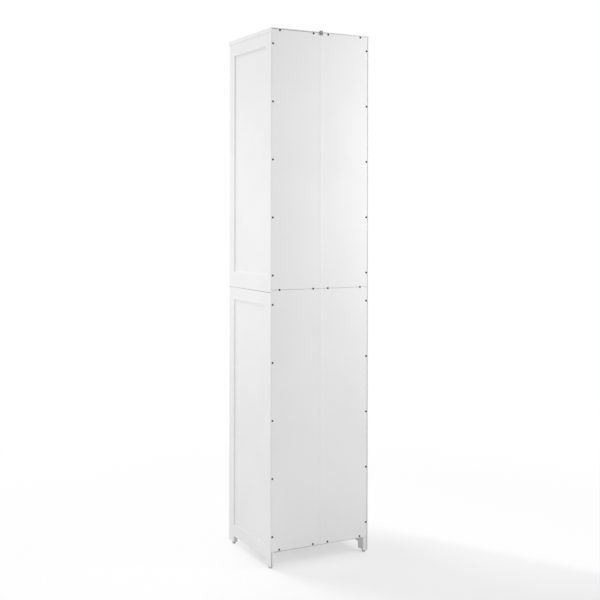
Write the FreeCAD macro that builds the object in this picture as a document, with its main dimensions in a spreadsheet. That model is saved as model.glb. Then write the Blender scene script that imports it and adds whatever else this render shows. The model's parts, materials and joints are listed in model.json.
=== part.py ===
import FreeCAD, Part
import os
import re
import Sketcher

# Linen cabinet in two tiers: frame-and-panel sides, scored sheet backs and two inset doors.
# Millimetres, +Z up, front towards -Y, right side towards +X.
# The origin lies on the floor, under the middle of the whole box.

SIZES = {
    # Carcass
    "cabinet_width": 400,
    "side_depth": 352,
    "board": 16,
    "lower_side_height": 959,
    "upper_side_height": 914,
    "floor_clearance": 56,
    "divider_lift": 1,
    "top_side_overhang": 1.5,
    "top_front_overhang": 4,
    "edge_ease": 1.2,
    "cut_overrun": 2,
    # Frame-and-panel sides
    "leg_height": 23,
    "stile_width": 43,
    "upper_top_rail": 45,
    "upper_bottom_rail": 60,
    "lower_top_rail": 45,
    "lower_bottom_rail": 44,
    "field_recess": 4,
    "field_thickness": 5,
    "groove_depth": 8,
    "groove_play": 0.6,
    # Foot glides
    "glide_height": 9,
    "glide_diameter": 13,
    "glide_nail_diameter": 3,
    "glide_nail_length": 14,
    "front_glide_inset": 28,
    "rear_glide_inset": 15,
    # Backs and their screws
    "back_thickness": 3,
    "back_inset": 1,
    "rebate_lip": 3.5,
    "top_lip": 2,
    "back_play": 0.5,
    "back_foot_reveal": 2.5,
    "back_seam": 1,
    "fold_width": 1,
    "fold_skin": 0.8,
    "screw_outer_distance": 53.5,
    "screw_seam_distance": 51,
    "screw_row_edge_distance": 35,
    "screw_row_inner": 30,
    "screw_diameter": 3,
    "screw_length": 16,
    "screw_head_diameter": 7,
    "screw_head_height": 2,
    "screw_hole_clearance": 0.6,
    "pilot_clearance": 0.1,
    # Tip restraint plate
    "bracket_width": 13,
    "bracket_drop": 4.5,
    "bracket_rise": 4.5,
    "bracket_thickness": 1.5,
    "bracket_corner": 3,
    "bracket_eye_diameter": 3,
    # Shelves and shelf pins
    "shelf_thickness": 16,
    "shelf_setback": 23,
    "shelf_play": 1,
    "shelf_low_share": 0.33,
    "shelf_high_share": 0.66,
    "pin_diameter": 5,
    "pin_depth": 9,
    "pin_pitch": 32,
    "pin_edge_distance": 28,
    "pin_drop": 5,
    "pin_plate_width": 10,
    "pin_plate_thickness": 1.6,
    "pin_plate_height": 11,
    "pin_tongue_reach": 10,
    # Knock-down fittings
    "cam_diameter": 15,
    "cam_depth": 12.5,
    "cam_slot_width": 1.6,
    "cam_slot_length": 9,
    "cam_slot_depth": 1.8,
    "bolt_reach": 34,
    "bolt_bite": 10,
    "bolt_thread_diameter": 5,
    "bolt_shank_diameter": 6,
    "bolt_head_length": 3,
    "bolt_hole_diameter": 7,
    "bolt_edge_distance": 26,
    "bolt_panel_inset": 90,
    "dowel_diameter": 8,
    "dowel_length": 38,
    "dowel_end_play": 1,
    "fitting_clearance": 0.1,
    # Doors
    "door_gap": 2,
    "door_thickness": 18,
    "door_stile": 50,
    "door_rail": 50,
    # Butt hinges
    "hinge_height": 50,
    "hinge_inset": 90,
    "leaf_width": 16,
    "leaf_thickness": 0.9,
    "barrel_diameter": 6,
    "barrel_clearance": 0.3,
    "knuckle_gap": 0.3,
    "hinge_pin_diameter": 3,
    "hinge_pin_clearance": 0.1,
    "hinge_bore_corner_share": 1.2,
    "hinge_pin_proud": 0.6,
    # Knobs
    "knob_height": 110,
    "knob_diameter": 30,
    "knob_projection": 26,
    "knob_base_diameter": 17,
    "knob_neck_diameter": 11,
    "knob_base_height": 3,
    "knob_rim_height": 15,
    "knob_rim_ease": 3,
    "knob_thread_depth": 12,
    "knob_screw_diameter": 4,
    "knob_screw_head_diameter": 8,
    "knob_screw_head_height": 2.5,
    # Magnetic catches and strike plates
    "catch_length": 46,
    "catch_depth": 14,
    "catch_height": 14,
    "catch_inset": 45,
    "catch_air": 0.3,
    "magnet_length": 32,
    "magnet_depth": 10,
    "magnet_height": 8,
    "magnet_proud": 0.5,
    "strike_length": 38,
    "strike_height": 9,
    "strike_thickness": 1,
}

# Places worked out from the sizes
PLACES = {
    "half_width": "cabinet_width / 2",
    "inner_half": "half_width - board",
    "side_middle": "half_width - board / 2",
    "front": "(knob_projection - side_depth - bracket_thickness - screw_head_height) / 2",
    "rear_edge": "front + side_depth",
    "back_face": "rear_edge - back_inset",
    "rear": "back_face - back_thickness",
    "panel_depth": "rear - front",
    "rebate_half": "half_width - rebate_lip",
    "rebate_depth": "rear_edge - rear",
    "back_half": "rebate_half - back_play",
    "bracket_face": "rear_edge + bracket_thickness",
    "rail_under": "glide_height + leg_height",
    "bottom_floor": "floor_clearance + board",
    "bottom_middle": "floor_clearance + board / 2",
    "seam": "glide_height + lower_side_height",
    "divider_under": "seam + divider_lift",
    "divider_middle": "divider_under + board / 2",
    "divider_floor": "divider_under + board",
    "upper_end": "seam + upper_side_height",
    "top_middle": "upper_end + board / 2",
    "top_face": "upper_end + board",
    "lower_back_low": "floor_clearance + back_foot_reveal",
    "lower_back_high": "divider_middle - back_seam / 2",
    "upper_back_low": "divider_middle + back_seam / 2",
    "upper_back_high": "top_face - top_lip - back_play",
    "upper_screw_low": "upper_back_low + screw_seam_distance",
    "upper_screw_high": "upper_back_high - screw_outer_distance",
    "lower_screw_low": "lower_back_low + screw_outer_distance",
    "lower_screw_high": "lower_back_high - screw_seam_distance",
    "screw_row_outer": "half_width - screw_row_edge_distance",
    "pilot_depth": "screw_length - back_thickness + cut_overrun",
    "tenon_length": "groove_depth - groove_play",
    "hinge_axis_x": "door_gap / 2 - inner_half",
    "hinge_axis_y": "front - barrel_diameter / 2 - barrel_clearance",
    "door_back": "front + door_thickness",
    "knob_x": "inner_half - door_gap - door_stile / 2",
    "catch_x": "inner_half - catch_inset",
    "magnet_face": "door_back + strike_thickness + catch_air",
    "catch_face": "magnet_face + magnet_proud",
    "lower_door_low": "bottom_floor + door_gap",
    "lower_door_high": "divider_under - door_gap",
    "upper_door_low": "divider_floor + door_gap",
    "upper_door_high": "upper_end - door_gap",
}

TURNS = {
    "+X": FreeCAD.Rotation(FreeCAD.Vector(0, 1, 0), 90),
    "-X": FreeCAD.Rotation(FreeCAD.Vector(0, 1, 0), -90),
    "+Y": FreeCAD.Rotation(FreeCAD.Vector(1, 0, 0), -90),
    "-Y": FreeCAD.Rotation(FreeCAD.Vector(1, 0, 0), 90),
    "+Z": FreeCAD.Rotation(),
    "-Z": FreeCAD.Rotation(FreeCAD.Vector(1, 0, 0), 180),
    "about Z": FreeCAD.Rotation(FreeCAD.Vector(0, 0, 1), 180),
    "cam in right side": FreeCAD.Rotation(
        FreeCAD.Vector(0, 0, 1), FreeCAD.Vector(0, -1, 0), FreeCAD.Vector(1, 0, 0), "XYZ"),
    "cam in left side": FreeCAD.Rotation(
        FreeCAD.Vector(0, 0, 1), FreeCAD.Vector(0, 1, 0), FreeCAD.Vector(-1, 0, 0), "XYZ"),
}

TIERS = ("upper", "lower")
SIDES = {"right": "", "left": "-"}
INWARD = {"right": "-X", "left": "+X"}
OUTWARD = {"right": "+X", "left": "-X"}

# Flat faces round a small shank and its hole, a dowel, a head, a cam, a glide and a knob
SHANK_FACES = 6
DOWEL_FACES = 8
HEAD_FACES = 8
CAM_FACES = 10
GLIDE_FACES = 12
KNOB_FACES = 20

DOC = FreeCAD.newDocument("linen_cabinet")
SHEET = DOC.addObject("Spreadsheet::Sheet", "Sizes")
for row, (name, number) in enumerate(SIZES.items(), start=1):
    SHEET.set("A%d" % row, str(number))
    SHEET.setAlias("A%d" % row, name)
DOC.recompute()

BLANKS = {}
TOOLS = {}
NODES = {}


def bound(text):
    """Spell a sum of named sizes and places as an expression on the sheet."""
    def spell(match):
        word = match.group(0)
        if word in PLACES:
            return "(" + bound(PLACES[word]) + ")"
        return "Sizes." + word
    return re.sub(r"[a-z_]+", spell, text)


def value(text):
    return float(SHEET.evalExpression(bound(text)))


def bind(item, **sizes):
    for name, text in sizes.items():
        item.setExpression(name, bound(text))
    return item


def place(item, point, turn="+Z"):
    item.Placement = FreeCAD.Placement(FreeCAD.Vector(), TURNS[turn])
    for axis, text in zip("xyz", point):
        item.setExpression("Placement.Base." + axis, bound(text))
    return item


def box(name, corner, size):
    item = DOC.addObject("Part::Box", name)
    bind(item, Length=size[0], Width=size[1], Height=size[2])
    return place(item, corner)


def rod(name, start, turn, diameter, length):
    item = DOC.addObject("Part::Cylinder", name)
    bind(item, Radius="(%s) / 2" % diameter, Height=length)
    return place(item, start, turn)


def bar(name, start, turn, diameter, length, faces):
    """Round stock drawn with a few flat faces, for small pieces that repeat and their holes."""
    item = DOC.addObject("Part::Prism", name)
    item.Polygon = faces
    bind(item, Circumradius="(%s) / 2" % diameter, Height=length)
    return place(item, start, turn)


def fused(name, items):
    item = DOC.addObject("Part::MultiFuse", name)
    item.Shapes = items
    return item


def cut(name, base, tools):
    item = DOC.addObject("Part::Cut", name)
    item.Base = base
    item.Tool = tools[0] if len(tools) == 1 else fused(name + "_tools", tools)
    return item


def eased(blank, corners, size="edge_ease"):
    """Take the arris off the edges where named faces meet, such as '+x-y', or all round one, such as '+z'."""
    blank.recompute()
    limits = blank.Shape.BoundBox
    faces = {"-x": limits.XMin, "+x": limits.XMax, "-y": limits.YMin,
             "+y": limits.YMax, "-z": limits.ZMin, "+z": limits.ZMax}
    ease = value(size)
    picked = []
    for number, edge in enumerate(blank.Shape.Edges, start=1):
        middle = edge.CenterOfMass
        for corner in corners:
            meeting = [corner[start:start + 2] for start in range(0, len(corner), 2)]
            if all(abs(getattr(middle, face[1]) - faces[face]) < ease / 2 for face in meeting):
                picked.append((number, ease, ease))
    item = DOC.addObject("Part::Chamfer", blank.Name + "_eased")
    item.Base = blank
    item.Edges = picked
    return item


def sketch(body, name, plane, points):
    """Closed outline of lines; a third entry on a point makes the line after it an arc of that radius."""
    item = body.newObject("Sketcher::SketchObject", name)
    support = [origin for origin in body.Origin.OriginFeatures if origin.Role == plane][0]
    item.AttachmentSupport = [(support, "")]
    item.MapMode = "FlatFace"
    spots = [FreeCAD.Vector(value(point[0]), value(point[1]), 0) for point in points]
    ends = []
    for index, point in enumerate(points):
        first = spots[index]
        last = spots[(index + 1) % len(spots)]
        if len(point) == 2:
            item.addGeometry(Part.LineSegment(first, last), False)
            ends.append((1, 2))
            continue
        chord = last - first
        radius = value(point[2])
        rise = radius - (radius ** 2 - (chord.Length / 2) ** 2) ** 0.5
        across = FreeCAD.Vector(chord.y, -chord.x, 0)
        across.normalize()
        crown = (first + last) / 2 + across * rise
        item.addGeometry(Part.Arc(first, crown, last), False)
        forward = (item.Geometry[index].StartPoint - first).Length < rise
        ends.append((1, 2) if forward else (2, 1))
        number = item.addConstraint(Sketcher.Constraint("Radius", index, radius))
        item.setExpression("Constraints[%d]" % number, bound(point[2]))
    for index in range(len(points)):
        following = (index + 1) % len(points)
        item.addConstraint(
            Sketcher.Constraint("Coincident", index, ends[index][1], following, ends[following][0]))
    for index, point in enumerate(points):
        spot = spots[index]
        for kind, text, at in (("DistanceX", point[0], spot.x), ("DistanceY", point[1], spot.y)):
            number = item.addConstraint(Sketcher.Constraint(kind, index, ends[index][0], at))
            item.setExpression("Constraints[%d]" % number, bound(text))
    return item


def padded(name, plane, points, length):
    body = DOC.addObject("PartDesign::Body", name)
    outline = sketch(body, name + "_outline", plane, points)
    pad = body.newObject("PartDesign::Pad", name + "_pad")
    pad.Profile = outline
    bind(pad, Length=length)
    return body


def board(name, corner, size, corners=()):
    """One board of the cabinet, kept as a blank until its grooves and holes are known."""
    blank = box(name + "_blank", corner, size)
    BLANKS[name] = eased(blank, corners) if corners else blank
    TOOLS[name] = []


def drill(name, start, turn, diameter, depth, faces=SHANK_FACES):
    TOOLS[name].append(bar(name + "_hole", start, turn, diameter, depth, faces))


def copies(name, master, spots):
    """One node of identical pieces: a compound of links to one master."""
    links = []
    for point, turn in spots:
        link = DOC.addObject("App::Link", name + "_copy")
        link.LinkedObject = master
        link.LinkTransform = True
        links.append(place(link, point, turn))
    group = DOC.addObject("Part::Compound", name + "_group")
    group.Links = links
    NODES[name] = group


def framed_panel(prefix, frame):
    """Stiles, rails and field panel of one frame, joined by stub tenons in a groove.

    Along the frame runs u (Y on a side, X on a door), up it runs Z and through it runs w.
    """
    def spot(u, z, w):
        return (w, u, z) if frame["runs"] == "y" else (u, w, z)

    thick = frame["thick"]
    stile = frame["stile"]
    stile_height = "(%(high)s) - (%(low)s)" % frame
    inner_low = "(%(start)s) + %(stile)s" % frame
    inner_high = "(%(end)s) - %(stile)s" % frame
    opening = "(%s) - (%s)" % (inner_high, inner_low)
    rails_low = "(%(low)s) + %(lift)s" % frame
    field_low = "(%s) + %s" % (rails_low, frame["bottom_rail"])
    field_high = "(%(high)s) - %(top_rail)s" % frame
    groove_w = frame["groove"]
    groove_run = "(%s) - (%s) + cut_overrun" % (frame["high"], rails_low)

    low_name, high_name = (prefix + "_" + name for name in frame["stiles"])
    board(low_name, spot(frame["start"], frame["low"], frame["face"]),
          spot(stile, stile_height, thick), frame["ease_low"])
    board(high_name, spot(inner_high, frame["low"], frame["face"]),
          spot(stile, stile_height, thick), frame["ease_high"])
    for name, groove_u in ((low_name, "(%s) - groove_depth" % inner_low), (high_name, inner_high)):
        TOOLS[name].append(box(name + "_groove", spot(groove_u, rails_low, groove_w),
                               spot("groove_depth", groove_run, "field_thickness")))

    rails = (("top_rail", field_high, frame["top_rail"], field_high, "groove_depth"),
             ("bottom_rail", rails_low, frame["bottom_rail"], "(%s) - groove_depth" % field_low, "0"))
    for kind, rail_low, rail_height, groove_z, tenon_rise in rails:
        name = prefix + "_" + kind
        board(name, spot(inner_low, rail_low, frame["face"]),
              spot(opening, rail_height, thick), frame["ease_" + kind])
        tenon = box(name + "_tenon", spot("(%s) - tenon_length" % inner_low,
                                          "(%s) + %s" % (rail_low, tenon_rise), groove_w),
                    spot("(%s) + 2 * tenon_length" % opening,
                         "%s - groove_depth" % rail_height, "field_thickness"))
        BLANKS[name] = fused(name + "_tenoned", [BLANKS[name], tenon])
        TOOLS[name].append(box(name + "_groove", spot(inner_low, groove_z, groove_w),
                               spot(opening, "groove_depth", "field_thickness")))

    board(prefix + "_field_panel",
          spot("(%s) - tenon_length" % inner_low, "(%s) - tenon_length" % field_low, groove_w),
          spot("(%s) + 2 * tenon_length" % opening,
               "(%s) - (%s) + 2 * tenon_length" % (field_high, field_low), "field_thickness"))


def side_frames():
    tiers = {
        "upper": ("seam", "upper_end", "0", "upper_top_rail", "upper_bottom_rail", "-z"),
        "lower": ("glide_height", "seam", "leg_height", "lower_top_rail", "lower_bottom_rail", "+z"),
    }
    rebates = {"right": "inner_half - cut_overrun", "left": "-rebate_half"}
    grooves = {"right": "half_width - field_recess - field_thickness", "left": "field_recess - half_width"}
    for side in SIDES:
        outer = "+x" if side == "right" else "-x"
        for tier, (low, high, lift, top_rail, bottom_rail, seam_face) in tiers.items():
            seam_edge = outer + seam_face
            framed_panel("%s_%s" % (tier, side), {
                "runs": "y", "start": "front", "end": "rear_edge", "low": low, "high": high, "lift": lift,
                "face": "inner_half" if side == "right" else "-half_width", "groove": grooves[side],
                "thick": "board", "stile": "stile_width",
                "top_rail": top_rail, "bottom_rail": bottom_rail,
                "stiles": ("front_stile", "rear_stile"),
                "ease_low": ("+x-y", "-x-y", seam_edge),
                "ease_high": (outer + "+y", seam_edge),
                "ease_top_rail": (seam_edge,) if tier == "lower" else (),
                "ease_bottom_rail": (seam_edge,) if tier == "upper" else (outer + "-z",),
            })
            stile = "%s_%s_rear_stile" % (tier, side)
            TOOLS[stile].append(box(stile + "_rebate", (rebates[side], "rear", "%s - cut_overrun" % low),
                                    ("board - rebate_lip + cut_overrun", "rebate_depth + cut_overrun",
                                     "%s - %s + 2 * cut_overrun" % (high, low))))


def carcass_panels():
    board("top_panel",
          ("-half_width - top_side_overhang", "front - top_front_overhang", "upper_end"),
          ("cabinet_width + 2 * top_side_overhang", "side_depth + top_front_overhang", "board"),
          ("+x+z", "-x+z", "-y+z", "+x-z", "-x-z", "-y-z", "+x-y", "-x-y"))
    TOOLS["top_panel"].append(box("top_panel_rebate", ("-rebate_half", "rear", "upper_end - cut_overrun"),
                                  ("2 * rebate_half", "rebate_depth + cut_overrun",
                                   "board - top_lip + cut_overrun")))
    board("divider_panel", ("-inner_half", "front", "divider_under"),
          ("2 * inner_half", "panel_depth", "board"), ("-y+z", "-y-z"))
    board("bottom_panel", ("-inner_half", "front", "floor_clearance"),
          ("2 * inner_half", "panel_depth", "board"), ("-y+z",))
    board("front_apron", ("-inner_half", "front", "rail_under"),
          ("2 * inner_half", "board", "floor_clearance - rail_under"), ("-y-z",))


def door(tier):
    low = tier + "_door_low"
    high = tier + "_door_high"
    prefix = tier + "_door"
    framed_panel(prefix, {
        "runs": "x", "start": "door_gap - inner_half", "end": "inner_half - door_gap",
        "low": low, "high": high, "lift": "0", "face": "front", "groove": "front + field_recess",
        "thick": "door_thickness", "stile": "door_stile",
        "top_rail": "door_rail", "bottom_rail": "door_rail",
        "stiles": ("hinge_stile", "latch_stile"),
        "ease_low": ("-x-y", "-z-y", "+z-y"),
        "ease_high": ("+x-y", "-z-y", "+z-y"),
        "ease_top_rail": ("-y+z",),
        "ease_bottom_rail": ("-y-z",),
    })


def backs():
    """Two sheets in the rebates of the sides and the top, each scored inside so that it folds flat."""
    for tier in TIERS:
        low = tier + "_back_low"
        high = tier + "_back_high"
        name = tier + "_back"
        height = "%s - %s" % (high, low)
        board(name, ("-back_half", "rear", low), ("2 * back_half", "back_thickness", height))
        TOOLS[name].append(box(name + "_score", ("-fold_width / 2", "rear - cut_overrun", low),
                               ("fold_width", "cut_overrun + back_thickness - fold_skin", height)))


def back_screws():
    shank = bar("back_screw_shank", ("0", "0", "-screw_length"), "+Z", "screw_diameter", "screw_length",
                SHANK_FACES)
    head = bar("back_screw_head", ("0", "0", "0"), "+Z", "screw_head_diameter", "screw_head_height",
               HEAD_FACES)
    screw = fused("back_screw", [shank, head])
    hole = "screw_diameter + screw_hole_clearance"
    pilot = "screw_diameter + pilot_clearance"
    spots = []

    def screw_at(x, z, sheets, seat):
        spots.append(((x, "back_face", z), "+Y"))
        for sheet in sheets:
            drill(sheet, (x, "back_face + cut_overrun", z), "-Y", hole, "back_thickness + 2 * cut_overrun")
        drill(seat, (x, "rear", z), "-Y", pilot, "pilot_depth")

    for tier in TIERS:
        for side, sign in SIDES.items():
            for step in range(5):
                z = "%s_screw_low + %d / 4 * (%s_screw_high - %s_screw_low)" % (tier, step, tier, tier)
                screw_at(sign + "side_middle", z, (tier + "_back",), "%s_%s_rear_stile" % (tier, side))
    rows = (("top_middle", ("upper_back",), "top_panel"),
            ("divider_middle", ("upper_back", "lower_back"), "divider_panel"),
            ("bottom_middle", ("lower_back",), "bottom_panel"))
    for z, sheets, seat in rows:
        for sign in SIDES.values():
            for reach in ("screw_row_outer", "screw_row_inner"):
                screw_at(sign + reach, z, sheets, seat)
    spots.append((("0", "bracket_face", "top_middle"), "+Y"))
    drill("upper_back", ("0", "back_face + cut_overrun", "top_middle"), "-Y", hole,
          "back_thickness + 2 * cut_overrun")
    drill("top_panel", ("0", "rear", "top_middle"), "-Y", pilot, "pilot_depth")
    copies("back_screws", screw, spots)


def tip_bracket():
    """Small plate screwed over the rear lip of the top; its eye stands above it for a wall tether."""
    low = "top_middle - bracket_drop"
    high = "top_face + bracket_rise"
    half = "bracket_width / 2"
    plate = padded("tip_bracket_plate", "XZ_Plane", [
        ("-" + half, low), (half, low),
        (half, high + " - bracket_corner", "bracket_corner"), (half + " - bracket_corner", high),
        ("bracket_corner - " + half, high, "bracket_corner"), ("-" + half, high + " - bracket_corner"),
    ], "bracket_thickness")
    place(plate, ("0", "bracket_face", "0"))
    BLANKS["tip_bracket"] = plate
    through = "bracket_thickness + 2 * cut_overrun"
    eye = rod("tip_bracket_eye", ("0", "rear_edge - cut_overrun", "top_face + bracket_rise / 2"), "+Y",
              "bracket_eye_diameter", through)
    TOOLS["tip_bracket"] = [eye]
    drill("tip_bracket", ("0", "rear_edge - cut_overrun", "top_middle"), "+Y",
          "screw_diameter + screw_hole_clearance", through)


def foot_glides():
    disc = bar("glide_disc", ("0", "0", "0"), "+Z", "glide_diameter", "glide_height", GLIDE_FACES)
    nail = bar("glide_nail", ("0", "0", "glide_height"), "+Z", "glide_nail_diameter",
               "glide_nail_length - fitting_clearance", SHANK_FACES)
    glide = fused("foot_glide", [disc, nail])
    spots = []
    for side, sign in SIDES.items():
        for stile, y in (("front_stile", "front + front_glide_inset"),
                         ("rear_stile", "rear_edge - rear_glide_inset")):
            spots.append(((sign + "side_middle", y, "0"), "+Z"))
            drill("lower_%s_%s" % (side, stile), (sign + "side_middle", y, "glide_height"), "+Z",
                  "glide_nail_diameter + pilot_clearance", "glide_nail_length")
    copies("foot_glides", glide, spots)


def shelves():
    """Four loose shelves, each on four pins, with a spare pin hole above and below each pin."""
    plate = box("shelf_pin_plate", ("-pin_plate_thickness", "-pin_plate_width / 2", "-pin_plate_height"),
                ("pin_plate_thickness", "pin_plate_width", "pin_plate_height"))
    tongue = box("shelf_pin_tongue", ("-pin_tongue_reach", "-pin_plate_width / 2", "-pin_plate_thickness"),
                 ("pin_tongue_reach", "pin_plate_width", "pin_plate_thickness"))
    peg = bar("shelf_pin_peg", ("-pin_plate_thickness / 2", "0", "-pin_drop"), "+X", "pin_diameter",
              "pin_depth + pin_plate_thickness / 2", SHANK_FACES)
    pin = fused("shelf_pin", [plate, tongue, peg])
    floors = {"upper": ("divider_floor", "upper_end"), "lower": ("bottom_floor", "divider_under")}
    edges = {"front_stile": "front + pin_edge_distance", "rear_stile": "rear_edge - pin_edge_distance"}
    facing = {"right": "+Z", "left": "about Z"}
    spots = []
    for tier, (floor, ceiling) in floors.items():
        for level in ("low", "high"):
            under = "%s + shelf_%s_share * (%s - %s)" % (floor, level, ceiling, floor)
            board("%s_shelf_%s" % (tier, level), ("shelf_play - inner_half", "front + shelf_setback", under),
                  ("2 * inner_half - 2 * shelf_play", "panel_depth - shelf_setback - shelf_play",
                   "shelf_thickness"), ("-y+z", "-y-z"))
            for side, sign in SIDES.items():
                for stile, y in edges.items():
                    spots.append(((sign + "inner_half", y, under), facing[side]))
                    for step in (-1, 0, 1):
                        drill("%s_%s_%s" % (tier, side, stile),
                              (sign + "inner_half", y, "%s - pin_drop + %d * pin_pitch" % (under, step)),
                              OUTWARD[side], "pin_diameter + fitting_clearance", "pin_depth")
    copies("shelf_pins", pin, spots)


def knock_down_fittings():
    """Bolts bite into one board and reach into the next, where a cam lock draws them up."""
    thread = bar("bolt_thread", ("0", "0", "fitting_clearance - bolt_bite"), "+Z",
                 "bolt_thread_diameter - fitting_clearance", "bolt_bite", SHANK_FACES)
    shank = bar("bolt_shank", ("0", "0", "0"), "+Z", "bolt_shank_diameter", "bolt_reach + bolt_head_length",
                SHANK_FACES)
    bolt = fused("cam_bolt", [thread, shank])
    cage = bar("cam_cage", ("0", "0", "0"), "+Z", "cam_diameter - fitting_clearance", "cam_depth", CAM_FACES)
    mouth = box("cam_mouth",
                ("-bolt_head_length - fitting_clearance", "-bolt_hole_diameter / 2",
                 "board / 2 - bolt_hole_diameter / 2"),
                ("cam_diameter + bolt_head_length", "bolt_hole_diameter", "bolt_hole_diameter"))
    slot = box("cam_slot", ("-cam_slot_length / 2", "-cam_slot_width / 2", "-cut_overrun"),
               ("cam_slot_length", "cam_slot_width", "cut_overrun + cam_slot_depth"))
    cam = cut("cam_lock", cage, [mouth, slot])
    ends = {"front_stile": "front + bolt_edge_distance", "rear_stile": "rear_edge - bolt_edge_distance"}
    insets = ("front + bolt_panel_inset", "rear - bolt_panel_inset")
    bolts = []
    cams = []
    for side, sign in SIDES.items():
        for stile, y in ends.items():
            name = "upper_%s_%s" % (side, stile)
            x = sign + "side_middle"
            bolts.append(((x, y, "upper_end"), "-Z"))
            drill("top_panel", (x, y, "upper_end"), "+Z", "bolt_thread_diameter", "bolt_bite")
            drill(name, (x, y, "upper_end"), "-Z", "bolt_hole_diameter", "bolt_reach")
            cam_spot = (sign + "inner_half", y, "upper_end - bolt_reach")
            cams.append((cam_spot, "cam in %s side" % side))
            drill(name, cam_spot, OUTWARD[side], "cam_diameter", "cam_depth", CAM_FACES)
        for panel, z, rail in (("divider_panel", "divider_middle", "upper_%s_bottom_rail"),
                               ("bottom_panel", "bottom_middle", "lower_%s_bottom_rail")):
            for y in insets:
                face = (sign + "inner_half", y, z)
                bolts.append((face, INWARD[side]))
                drill(rail % side, face, OUTWARD[side], "bolt_thread_diameter", "bolt_bite")
                drill(panel, face, INWARD[side], "bolt_hole_diameter", "bolt_reach")
                cam_spot = (sign + "(inner_half - bolt_reach)", y, z + " - board / 2")
                cams.append((cam_spot, "+Z" if side == "right" else "about Z"))
                drill(panel, cam_spot, "+Z", "cam_diameter", "cam_depth", CAM_FACES)
    copies("cam_bolts", bolt, bolts)
    copies("cam_locks", cam, cams)


def tier_dowels():
    dowel = bar("tier_dowel", ("0", "0", "-dowel_length / 2"), "+Z", "dowel_diameter", "dowel_length",
                DOWEL_FACES)
    spots = []
    for side, sign in SIDES.items():
        for stile, y in (("front_stile", "front + bolt_edge_distance"),
                         ("rear_stile", "rear_edge - bolt_edge_distance")):
            spot = (sign + "side_middle", y, "seam")
            spots.append((spot, "+Z"))
            for tier, turn in (("upper", "+Z"), ("lower", "-Z")):
                drill("%s_%s_%s" % (tier, side, stile), spot, turn,
                      "dowel_diameter + fitting_clearance", "dowel_length / 2 + dowel_end_play", DOWEL_FACES)
    copies("tier_dowels", dowel, spots)


def hinge_leaf(name, near, knuckles, bore):
    """Flat leaf in the gap beside the door, rolled into its own knuckles round the pin."""
    pitch = "hinge_height / 3"
    plate_start = "barrel_diameter / 2 + 2 * barrel_clearance"
    pieces = [box(name + "_plate", (near, plate_start, "0"),
                  ("leaf_thickness", "leaf_width", "hinge_height"))]
    for knuckle in knuckles:
        low = "%d * %s + knuckle_gap / 2" % (knuckle, pitch)
        length = pitch + " - knuckle_gap"
        pieces.append(rod(name + "_knuckle", ("0", "0", low), "+Z", "barrel_diameter", length))
        pieces.append(box(name + "_web", (near, "0", low), ("leaf_thickness", plate_start, length)))
    return cut(name, fused(name + "_rolled", pieces), [bore])


def hinges():
    """Butt hinges: the pin stays in the frame leaf's six-sided bore and the door leaf turns round it."""
    under = ("0", "0", "-cut_overrun")
    through = "hinge_height + 2 * cut_overrun"
    held = bar("frame_leaf_bore", under, "+Z", "hinge_bore_corner_share * hinge_pin_diameter", through,
               SHANK_FACES)
    turning = rod("door_leaf_bore", under, "+Z", "hinge_pin_diameter + hinge_pin_clearance", through)
    frame_leaf = hinge_leaf("frame_leaf", "-door_gap / 2", (0, 2), held)
    door_leaf = hinge_leaf("door_leaf", "door_gap / 2 - leaf_thickness", (1,), turning)
    pin = rod("hinge_pin", ("0", "0", "-hinge_pin_proud"), "+Z", "hinge_pin_diameter",
              "hinge_height + 2 * hinge_pin_proud")
    all_spots = []
    for tier in TIERS:
        heights = (tier + "_door_low + hinge_inset", tier + "_door_high - hinge_inset - hinge_height")
        spots = [(("hinge_axis_x", "hinge_axis_y", z), "+Z") for z in heights]
        copies(tier + "_door_hinge_leaves", door_leaf, spots)
        all_spots += spots
    copies("hinge_frame_leaves", frame_leaf, all_spots)
    copies("hinge_pins", pin, all_spots)


def knobs():
    base = bar("knob_base", ("0", "0", "0"), "+Z", "knob_base_diameter", "knob_base_height", KNOB_FACES)
    neck = bar("knob_neck", ("0", "0", "0"), "+Z", "knob_neck_diameter", "knob_rim_height", KNOB_FACES)
    rim = bar("knob_rim", ("0", "0", "knob_rim_height"), "+Z", "knob_diameter",
              "knob_projection - knob_rim_height", KNOB_FACES)
    form = fused("knob_form", [base, neck, eased(rim, ("+z", "-z"), "knob_rim_ease")])
    bore = bar("knob_bore", ("0", "0", "-cut_overrun"), "+Z", "knob_screw_diameter + fitting_clearance",
               "knob_thread_depth + cut_overrun", SHANK_FACES)
    knob = cut("knob", form, [bore])
    shank = bar("knob_screw_shank", ("0", "0", "0"), "+Z", "knob_screw_diameter",
                "door_thickness + knob_thread_depth - fitting_clearance", SHANK_FACES)
    head = bar("knob_screw_head", ("0", "0", "-knob_screw_head_height"), "+Z", "knob_screw_head_diameter",
               "knob_screw_head_height", HEAD_FACES)
    screw = fused("knob_screw", [shank, head])
    heights = {"upper": "upper_door_low + knob_height", "lower": "lower_door_high - knob_height"}
    for tier, z in heights.items():
        prefix = tier + "_door"
        drill(prefix + "_latch_stile", ("knob_x", "front - cut_overrun", z), "+Y",
              "knob_screw_diameter + fitting_clearance", "door_thickness + 2 * cut_overrun")
        copies(prefix + "_knob", knob, [(("knob_x", "front", z), "-Y")])
        copies(prefix + "_knob_screw", screw, [(("knob_x", "door_back", z), "-Y")])


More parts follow.
